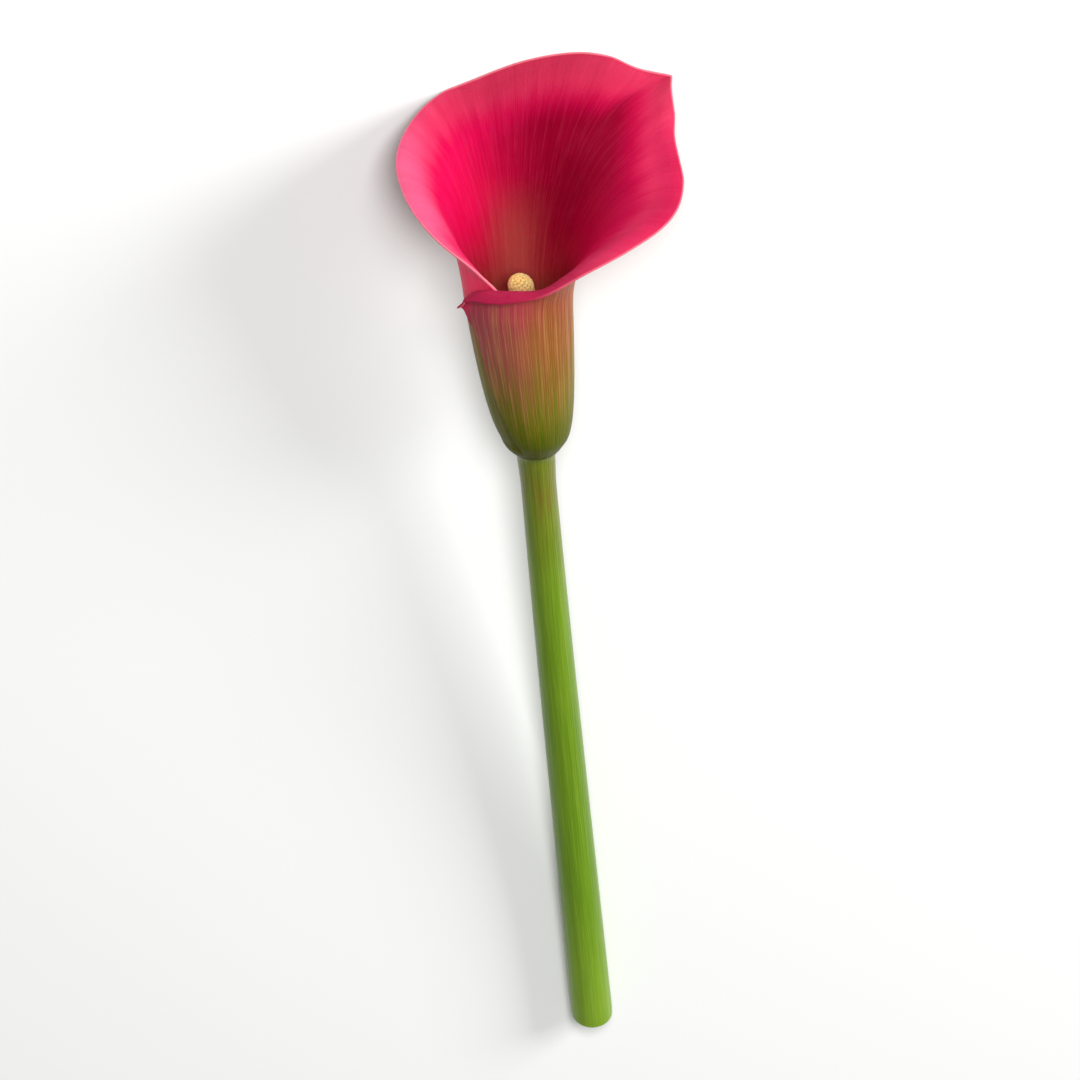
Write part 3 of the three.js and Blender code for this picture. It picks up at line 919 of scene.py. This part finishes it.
def ovary_shape():
    """One pistil: a plump ovary, a short neck and a knobbed stigma."""
    deselect()
    bpy.ops.mesh.primitive_uv_sphere_add(segments=14, ring_count=16, radius=1)
    ovary = bpy.context.object
    drawn = coordinates(ovary)
    turn, share = round_coordinates(drawn)
    level = sphere_levels(drawn)
    body = OVARY_R * np.sin(math.pi * np.clip(level / OVARY_TOP, 0, 1)) ** OVARY_PLUMP
    to_top = np.clip((level - STIGMA_FOOT) / (1 - STIGMA_FOOT), 0, 1)
    knob = STIGMA_R * np.sin(math.pi * to_top) ** STIGMA_PLUMP
    r = np.maximum(np.maximum(body, knob), NECK_R) * np.minimum(share / OVARY_POLE, 1)
    z = lerp(*PISTIL_REACH, level)
    reshape(ovary, np.stack((r * np.cos(turn), r * np.sin(turn), z), -1))
    add_measure(ovary, "stigma", smoothstep(level, *STIGMA_SHADE))
    shade_smooth(ovary)
    return ovary


def make_pistils():
    """The foot of the spadix, with its ovaries in rows."""
    core = make_core("pistil_core", PISTIL_FOOT, PISTIL_TOP, lambda z: PISTIL_CORE_R)
    add_measure(core, "stigma", np.zeros(len(core.data.vertices)))
    draw = random.Random(PISTIL_SEED)
    places = []
    pitch = (PISTIL_TOP - PISTIL_FOOT) / PISTIL_ROWS
    for row in range(PISTIL_ROWS):
        for n in range(PISTILS_ROUND):
            turn = 2 * math.pi * (n + 0.5 * (row % 2)) / PISTILS_ROUND
            turn += draw.uniform(-PISTIL_STRAY, PISTIL_STRAY)
            z = PISTIL_FOOT + pitch * (row + 0.5) + draw.uniform(-PISTIL_UNEVEN, PISTIL_UNEVEN)
            lean = draw.uniform(*PISTIL_LEAN)
            twist = draw.uniform(0, PISTIL_TWIST)
            places.append(place_on_spadix(z, turn, PISTIL_CORE_R, lean, PISTIL_SIZE, twist))
    pistils = join(core, copy_to_places(ovary_shape(), places), "spadix_ovaries")
    pistils.data.materials.append(ovary_skin())
    hand_over(pistils, "spadix_pistils")


# ---- node helpers ---------------------------------------------------------------------------


def colour(red, green, blue):
    """A screen colour, 0 to 255, as the linear colour that nodes use."""
    channels = [c / 255 for c in (red, green, blue)]
    return [c / 12.92 if c <= 0.04045 else ((c + 0.055) / 1.055) ** 2.4 for c in channels] + [1]


class Board:
    """A node tree, with short ways to add nodes and join them up."""

    def __init__(self, tree):
        self.tree = tree

    def add(self, kind, inputs=(), **settings):
        node = self.tree.nodes.new(kind)
        for key, value in settings.items():
            setattr(node, key, value)
        for key, value in dict(inputs).items():
            self.feed(node.inputs[key], value)
        return node

    def feed(self, socket, value):
        if isinstance(value, bpy.types.NodeSocket):
            self.tree.links.new(value, socket)
        else:
            socket.default_value = value

    def use(self, group, **inputs):
        """A shared effect, with its own values here."""
        return self.add("ShaderNodeGroup", inputs, node_tree=group).outputs

    def place(self):
        """Where on its piece each spot lies, in metres."""
        return self.add("ShaderNodeTexCoord").outputs["Object"]

    def measure(self, name):
        """A number that the piece carries on its points."""
        return self.add("ShaderNodeAttribute", attribute_name=name).outputs["Fac"]

    def calc(self, operation, a, b=0.0, c=0.0):
        node = self.add("ShaderNodeMath", {0: a, 1: b, 2: c}, operation=operation)
        return node.outputs[0]

    def times(self, first, *others):
        """All of these multiplied together."""
        for other in others:
            first = self.calc("MULTIPLY", first, other)
        return first

    def apart(self, a, b):
        """How far a and b are apart."""
        return self.calc("ABSOLUTE", self.calc("SUBTRACT", a, b))

    def drifting(self, value, drift, width):
        """The value, shifted to and fro over this width as the drift goes from 0 to 1."""
        return self.calc("ADD", value, self.times(self.calc("SUBTRACT", drift, 0.5), width))

    def fade(self, value, low, high):
        """0 up to low, 1 from high, and smooth between; low may be the larger."""
        inputs = {"Value": value, "From Min": low, "From Max": high}
        node = self.add("ShaderNodeMapRange", inputs, interpolation_type="SMOOTHSTEP")
        return node.outputs["Result"]

    def mix(self, factor, a, b):
        node = self.add("ShaderNodeMix", data_type="RGBA")
        self.feed(node.inputs[0], factor)
        self.feed(node.inputs[6], a)
        self.feed(node.inputs[7], b)
        return node.outputs[2]

    def laid_over(self, base, layers):
        """The base with layers over it, each a mask, how strong it is and its colour."""
        for mask, strength, shade in layers:
            base = self.mix(self.times(mask, strength), base, shade)
        return base

    def ramp(self, value, span, stops):
        """A run of colours over the span, from stops of (place from 0 to 1, colour)."""
        node = self.add("ShaderNodeValToRGB", {"Fac": self.calc("DIVIDE", value, span)})
        node.color_ramp.interpolation = "EASE"
        while len(node.color_ramp.elements) < len(stops):
            node.color_ramp.elements.new(0.5)
        for element, (place, shade) in zip(node.color_ramp.elements, stops):
            element.position = place
            element.color = shade
        return node.outputs["Color"]

    def noise(self, vector, scale, detail):
        inputs = {"Vector": vector, "Scale": scale, "Detail": detail}
        return self.add("ShaderNodeTexNoise", inputs).outputs["Fac"]

    def cells(self, vector, scale):
        """The distance from the middle of the nearest of many cells."""
        inputs = {"Vector": vector, "Scale": scale}
        return self.add("ShaderNodeTexVoronoi", inputs).outputs["Distance"]

    def stretched(self, vector, x, y):
        node = self.add("ShaderNodeMapping", {"Vector": vector, "Scale": (x, y, 1.0)})
        return node.outputs["Vector"]


def start_material(name, roughness, **sockets):
    """A new material with one principled shader, whose constant sockets are set here."""
    material = bpy.data.materials.new(name)
    material.use_nodes = True
    board = Board(material.node_tree)
    shader = material.node_tree.nodes["Principled BSDF"]
    shader.inputs["Roughness"].default_value = roughness
    for key, value in sockets.items():
        shader.inputs[key.replace("_", " ")].default_value = value
    return material, board, shader


def feed_shader(board, shader, base, relief, depth):
    """Feeds the shader its colour and its relief, whose layers are heights, each with its share
    of the depth in millimetres."""
    board.feed(shader.inputs["Base Color"], base)
    total = 0.0
    for height, share in relief:
        total = board.calc("MULTIPLY_ADD", height, share, total)
    bump = board.add("ShaderNodeBump", {"Height": total, "Distance": depth * MM})
    board.feed(shader.inputs["Normal"], bump.outputs["Normal"])


def start_group(name, inputs, outputs):
    """A shared effect: a node group with named inputs and outputs."""
    group = bpy.data.node_groups.new(name, "ShaderNodeTree")
    for label, kind, default in inputs:
        socket = group.interface.new_socket(label, in_out="INPUT", socket_type=kind)
        if default is not None:
            socket.default_value = default
    for label in outputs:
        group.interface.new_socket(label, in_out="OUTPUT", socket_type="NodeSocketFloat")
    board = Board(group)
    return group, board, board.add("NodeGroupInput").outputs, board.add("NodeGroupOutput").inputs


def fibre_group():
    """Long fibres that run with a piece: broad soft streaks and thin veins on the map's first
    direction, which wander a little along its second."""
    group, board, given, out = start_group(
        "long_fibres",
        [
            ("Map", "NodeSocketVector", None),
            ("Streaks", "NodeSocketFloat", 60.0),
            ("Veins", "NodeSocketFloat", 150.0),
            ("Wander", "NodeSocketFloat", 2.0),
        ],
        ["Streak", "Vein"],
    )
    parts = board.add("ShaderNodeSeparateXYZ", {"Vector": given["Map"]}).outputs

    def threads(count, wander, detail):
        x = board.times(parts["X"], given[count])
        y = board.times(parts["Y"], given["Wander"], wander)
        place = board.add("ShaderNodeCombineXYZ", {"X": x, "Y": y}).outputs[0]
        return board.noise(place, 1.0, detail)

    board.feed(out["Streak"], board.fade(threads("Streaks", 1.0, 2.0), 0.32, 0.68))
    ridge = board.apart(threads("Veins", 1.7, 3.0), 0.5)
    board.feed(out["Vein"], board.fade(ridge, 0.07, 0.0))
    return group


def tissue_group():
    """Living tissue: soft patches of more and less colour, and fine cells for the bump."""
    group, board, given, out = start_group(
        "plant_tissue",
        [
            ("Place", "NodeSocketVector", None),
            ("Patches", "NodeSocketFloat", 120.0),
            ("Cells", "NodeSocketFloat", 2600.0),
        ],
        ["Patch", "Cell"],
    )
    patch = board.noise(given["Place"], given["Patches"], 3.0)
    board.feed(out["Patch"], board.fade(patch, 0.3, 0.7))
    board.feed(out["Cell"], board.cells(given["Place"], given["Cells"]))
    return group


FIBRES = fibre_group()
TISSUE = tissue_group()


# ---- materials ------------------------------------------------------------------------------
# Places on the spathe are told by its measures: from_rim, from_outer (its outer margin) and
# from_joint in millimetres, and turn, in turns round the tube from its back, growing to the right.


def fibre_map(board):
    """Across the long fibres in turns round the piece, and along them in decimetres."""
    parts = {"X": board.measure("turn"), "Y": board.times(board.measure("from_foot"), 0.01)}
    return board.add("ShaderNodeCombineXYZ", parts).outputs[0]


def petal_inside():
    """The mouth of the spathe: velvety magenta pink that deepens to crimson in the throat, with
    painted shade and sheen.
    """
    material, board, shader = start_material(
        "petal_inside",
        0.5,
        Subsurface_Weight=0.45,
        Subsurface_Radius=(1.0, 0.12, 0.25),
        Subsurface_Scale=0.0018,
        Specular_IOR_Level=0.1,
        Specular_Tint=colour(255, 80, 125),
        Sheen_Weight=0.07,
        Sheen_Roughness=0.35,
        Sheen_Tint=colour(255, 60, 120),
    )
    times, fade = board.times, board.fade
    fibres = board.use(FIBRES, Map=fibre_map(board), Streaks=92.0, Veins=190.0, Wander=2.2)
    tissue = board.use(TISSUE, Place=board.place(), Patches=90.0, Cells=2600.0)
    streak, vein, patch = fibres["Streak"], fibres["Vein"], tissue["Patch"]
    rim, turn, height = (board.measure(name) for name in ("from_rim", "turn", "from_joint"))
    limb = board.ramp(
        board.drifting(rim, streak, 2.0),
        45.0,
        [
            (0.0, colour(208, 58, 94)),
            (0.11, colour(206, 44, 86)),
            (0.24, colour(200, 4, 72)),
            (0.5, colour(188, 0, 60)),
            (1.0, colour(160, 0, 38)),
        ],
    )
    # Painted shade: a darker crimson patch on the back wall, right of the midrib, where the right
    # lobe would shade it.
    shaded_heart = times(fade(board.apart(turn, 0.09), 0.22, 0.02), fade(rim, 5.0, 17.0))
    # Painted sheen: the left mask lays a paler pink band along the left rim.
    left = times(fade(turn, -0.08, -0.2), fade(turn, -0.39, -0.27), fade(rim, 10.0, 1.0))
    # Painted light: the right mask lays a faintly paler pink near the rim on the right.
    right = times(fade(turn, 0.1, 0.2), fade(rim, 13.0, 2.0))
    inner_margin = times(fade(turn, -0.26, -0.36), fade(rim, 0.8, 3.2))
    right_lobe = times(fade(turn, 0.15, 0.21), fade(turn, 0.36, 0.27), fade(rim, 7.0, 2.0))
    back = times(fade(board.apart(turn, 0.03), 0.15, 0.04), fade(rim, 13.0, 3.0))
    limb = board.laid_over(
        limb,
        [
            (shaded_heart, 0.94, colour(124, 0, 28)),
            (left, 0.5, colour(238, 118, 162)),
            (right, 0.18, colour(236, 60, 108)),
            (inner_margin, 0.85, colour(202, 0, 74)),
            (right_lobe, 0.75, colour(172, 14, 64)),
            (back, 0.75, colour(174, 42, 68)),
        ],
    )
    throat = board.ramp(
        height,
        40.0,
        [(0.0, colour(160, 160, 66)), (0.55, colour(172, 116, 60)), (1.0, colour(164, 46, 50))],
    )
    deep = fade(board.drifting(height, streak, 2.0), 50.0, 27.0)
    frayed = board.calc("MULTIPLY_ADD", streak, 0.03, board.calc("ABSOLUTE", turn))
    window = times(fade(frayed, 0.12, 0.02), fade(height, 57.0, 39.0))
    # Painted shade: the lip mask darkens the rolled-out hem at the front of the mouth.
    lip = times(fade(turn, 0.3, 0.46), fade(rim, 7.0, 3.5))
    pale_edge = times(fade(rim, 0.5, 0.1), fade(turn, 0.5, 0.3))
    base = board.laid_over(
        board.mix(deep, limb, throat),
        [
            (window, 0.72, colour(170, 78, 66)),
            (streak, 0.1, colour(120, 0, 34)),
            (patch, 0.07, colour(226, 40, 92)),
            (vein, 0.04, colour(240, 90, 130)),
            (lip, 0.9, colour(156, 30, 66)),
            (pale_edge, 0.55, colour(244, 150, 160)),
        ],
    )
    board.feed(shader.inputs["Roughness"], board.calc("MULTIPLY_ADD", patch, 0.1, 0.48))
    feed_shader(board, shader, base, [(streak, 0.5), (vein, 0.3), (tissue["Cell"], 0.5)], 0.04)
    return material


def petal_outside():
    """The back of the spathe: magenta pink, fading down the tube through peach brown to olive
    green, with fine cream and red-brown veins, and painted shade on its right and low down."""
    material, board, shader = start_material(
        "petal_outside",
        0.42,
        Subsurface_Weight=0.25,
        Subsurface_Radius=(1.0, 0.35, 0.25),
        Subsurface_Scale=0.0014,
        Specular_IOR_Level=0.08,
    )
    times, fade = board.times, board.fade
    fibres = board.use(FIBRES, Map=fibre_map(board), Streaks=74.0, Veins=118.0, Wander=1.1)
    tissue = board.use(TISSUE, Place=board.place(), Patches=110.0, Cells=2400.0)
    streak, vein = fibres["Streak"], fibres["Vein"]
    rim, turn, joint = (board.measure(name) for name in ("from_rim", "turn", "from_joint"))
    height = board.drifting(joint, streak, 7.0)
    # The lower stops are the tube's own olive green, darkened a little as painted shade.
    lengthways = board.ramp(
        height,
        75.0,
        [
            (0.0, colour(66, 84, 0)),
            (0.16, colour(82, 96, 0)),
            (0.3, colour(106, 102, 4)),
            (0.43, colour(140, 90, 36)),
            (0.56, colour(164, 60, 66)),
            (0.7, colour(184, 46, 80)),
            (1.0, colour(208, 62, 104)),
        ],
    )
    flap = times(fade(board.measure("from_outer"), 18.0, 1.0), fade(height, 10.0, 32.0))
    # A brown tint on the right of the tube, deepened as painted shade.
    brown_and_shade = times(fade(turn, 0.2, 0.34), fade(turn, 0.5, 0.4), fade(height, 10.0, 30.0))
    lip = times(fade(rim, 6.5, 2.0), fade(joint, 60.0, 50.0))
    cream_veins = times(vein, fade(height, 4.0, 20.0), fade(rim, 3.0, 12.0))
    inner_margin = times(fade(turn, -0.14, -0.26), fade(joint, 32.0, 41.0))
    base = board.laid_over(
        lengthways,
        [
            (flap, 0.72, colour(160, 54, 84)),
            (brown_and_shade, 0.7, colour(126, 68, 28)),
            (lip, 0.85, colour(184, 36, 78)),
            (cream_veins, 0.27, colour(210, 158, 100)),
            (streak, 0.16, colour(118, 36, 34)),
            (tissue["Patch"], 0.08, colour(176, 130, 60)),
            (inner_margin, 0.92, colour(250, 46, 98)),
            (fade(rim, 0.6, 0.1), 0.5, colour(240, 140, 150)),
        ],
    )
    feed_shader(board, shader, base, [(streak, 0.6), (vein, 0.5), (tissue["Cell"], 0.2)], 0.06)
    return material


def stem_skin():
    """Smooth, faintly streaked bright green, blushed red-brown below the spathe."""
    material, board, shader = start_material(
        "stem_skin",
        0.36,
        Subsurface_Weight=0.15,
        Subsurface_Radius=(0.6, 1.0, 0.2),
        Subsurface_Scale=0.002,
        Specular_IOR_Level=0.45,
        Coat_Weight=0.08,
        Coat_Roughness=0.25,
    )
    along = fibre_map(board)
    fibres = board.use(FIBRES, Map=along, Streaks=30.0, Veins=52.0, Wander=2.0)
    blotches = board.use(TISSUE, Place=board.stretched(along, 1.0, 0.4), Patches=9.0, Cells=9.0)
    tissue = board.use(TISSUE, Place=board.place(), Patches=90.0, Cells=2600.0)
    lengthways = board.ramp(
        board.drifting(board.measure("from_foot"), blotches["Patch"], 9.0),
        140.0,
        [
            (0.0, colour(92, 94, 10)),
            (0.05, colour(104, 92, 18)),
            (0.13, colour(100, 112, 10)),
            (0.26, colour(98, 132, 6)),
            (0.75, colour(94, 132, 6)),
            (1.0, colour(118, 152, 34)),
        ],
    )
    base = board.laid_over(
        lengthways,
        [
            (fibres["Streak"], 0.22, colour(140, 168, 44)),
            (blotches["Patch"], 0.28, colour(62, 100, 4)),
            (fibres["Vein"], 0.16, colour(150, 178, 62)),
        ],
    )
    relief = [(fibres["Streak"], 0.6), (fibres["Vein"], 0.3), (tissue["Cell"], 0.2)]
    feed_shader(board, shader, base, relief, 0.045)
    return material


def stem_flesh():
    """The cut across the stem: pale wet pith with air canals, and a green ring under the skin."""
    material, board, shader = start_material(
        "stem_flesh",
        0.3,
        Subsurface_Weight=0.35,
        Subsurface_Radius=(0.8, 1.0, 0.5),
        Subsurface_Scale=0.002,
        Coat_Weight=0.25,
        Coat_Roughness=0.15,
    )
    flattened = board.stretched(board.place(), 1.0, 0.0)
    tissue = board.use(TISSUE, Place=flattened, Patches=700.0, Cells=2300.0)
    ring = board.ramp(
        board.measure("from_skin"),
        2.0,
        [(0.0, colour(92, 130, 20)), (0.2, colour(150, 182, 84)), (0.5, colour(206, 220, 160))],
    )
    canals = board.fade(tissue["Cell"], 0.34, 0.08)
    bundles = board.fade(board.cells(flattened, 900.0), 0.22, 0.12)
    base = board.laid_over(
        ring,
        [(canals, 0.45, colour(120, 148, 70)), (bundles, 0.5, colour(96, 128, 40))],
    )
    feed_shader(board, shader, base, [(tissue["Cell"], 1.0)], 0.12)
    return material


def anther_skin():
    """Matt warm yellow-orange, dusted with pollen."""
    material, board, shader = start_material(
        "anther_skin",
        0.75,
        Subsurface_Weight=0.4,
        Subsurface_Radius=(1.0, 0.6, 0.25),
        Subsurface_Scale=0.0012,
        Specular_IOR_Level=0.25,
        Sheen_Weight=0.25,
        Sheen_Tint=colour(255, 236, 190),
    )
    tissue = board.use(TISSUE, Place=board.place(), Patches=700.0, Cells=9000.0)
    skin = board.mix(tissue["Patch"], colour(255, 202, 118), colour(255, 216, 140))
    pollen = board.fade(tissue["Cell"], 0.5, 0.1)
    base = board.mix(pollen, skin, colour(255, 232, 168))
    feed_shader(board, shader, base, [(tissue["Cell"], 1.0)], 0.02)
    return material


def ovary_skin():
    """Satin pale yellow-green, with cream stigmas."""
    material, board, shader = start_material(
        "ovary_skin",
        0.4,
        Subsurface_Weight=0.25,
        Subsurface_Radius=(0.8, 1.0, 0.3),
        Subsurface_Scale=0.0015,
        Coat_Weight=0.1,
    )
    tissue = board.use(TISSUE, Place=board.place(), Patches=500.0, Cells=5000.0)
    body = board.mix(tissue["Patch"], colour(168, 184, 84), colour(206, 212, 130))
    base = board.mix(board.measure("stigma"), body, colour(238, 228, 176))
    feed_shader(board, shader, base, [(tissue["Cell"], 1.0)], 0.03)
    return material


def table_top():
    """A plain matt white table, very slightly uneven in tone."""
    material, board, shader = start_material("table_top", 0.6, Specular_IOR_Level=0.2)
    tone = board.noise(board.place(), 6.0, 2.0)
    base = board.mix(tone, colour(240, 240, 239), colour(243, 243, 242))
    board.feed(shader.inputs["Base Color"], base)
    return material


# ---- stage ----------------------------------------------------------------------------------

# Places, distances and sizes of the stage are in metres
VIEW_RISE = math.radians(65)  # the camera looks down on the lying flower, into its mouth
VIEW_DISTANCE = 2.5
VIEW_HEIGHT = 0.224  # what the frame takes in at the flower
VIEW_AIM = 0.0085  # the bloom is nearer to the camera, so the aim is this much above the middle
SENSOR = 36.0
TABLE_SIZE = 8
TABLE_DROP = 0.0001  # just under the flower
# Lights: [name, place, breadth, power in watts]
LIGHTS = [
    ["key", (1.0, 0.5, 0.5), 0.5, 13],
    ["mouth", (0.12, 0.6, 1.15), 0.45, 13],
]
SKY = 0.18


def make_camera():
    """Looks down into the mouth, with the bloom at the top of the picture."""
    back = Vector((0, math.cos(VIEW_RISE), math.sin(VIEW_RISE)))
    up = Vector((0, math.sin(VIEW_RISE), -math.cos(VIEW_RISE)))
    data = bpy.data.cameras.new("camera")
    data.sensor_width = SENSOR
    data.lens = SENSOR * VIEW_DISTANCE / VIEW_HEIGHT
    data.clip_end = 20
    camera = bpy.data.objects.new("camera", data)
    low, high = CAD_BOX
    turned = Matrix((up.cross(back), up, back)).transposed().to_4x4()
    turned.translation = (low + high) / 2 + up * VIEW_AIM + back * VIEW_DISTANCE
    camera.matrix_world = turned
    bpy.context.collection.objects.link(camera)
    bpy.context.scene.camera = camera


def make_light(name, place, size, power):
    """A soft box that faces the flower."""
    data = bpy.data.lights.new(name, "AREA")
    data.shape = "SQUARE"
    data.size = size
    data.energy = power
    lamp = bpy.data.objects.new(name, data)
    lamp.location = place
    lamp.rotation_euler = (-Vector(place)).to_track_quat("-Z", "Y").to_euler()
    bpy.context.collection.objects.link(lamp)


def make_stage():
    deselect()
    bpy.ops.mesh.primitive_plane_add(size=TABLE_SIZE, location=(0, 0, -TABLE_DROP))
    table = bpy.context.object
    table.name = "table"
    table.data.materials.append(table_top())
    make_camera()
    for light in LIGHTS:
        make_light(*light)
    world = bpy.data.worlds.new("studio")
    bpy.context.scene.world = world
    world.use_nodes = True
    sky = world.node_tree.nodes["Background"].inputs
    sky["Color"].default_value = (1, 1, 1, 1)
    sky["Strength"].default_value = SKY
    bpy.context.scene.view_settings.view_transform = "Standard"


# ---- the flower -----------------------------------------------------------------------------

make_stem()
make_spathe()
make_pistils()
make_stamens()
make_stage()
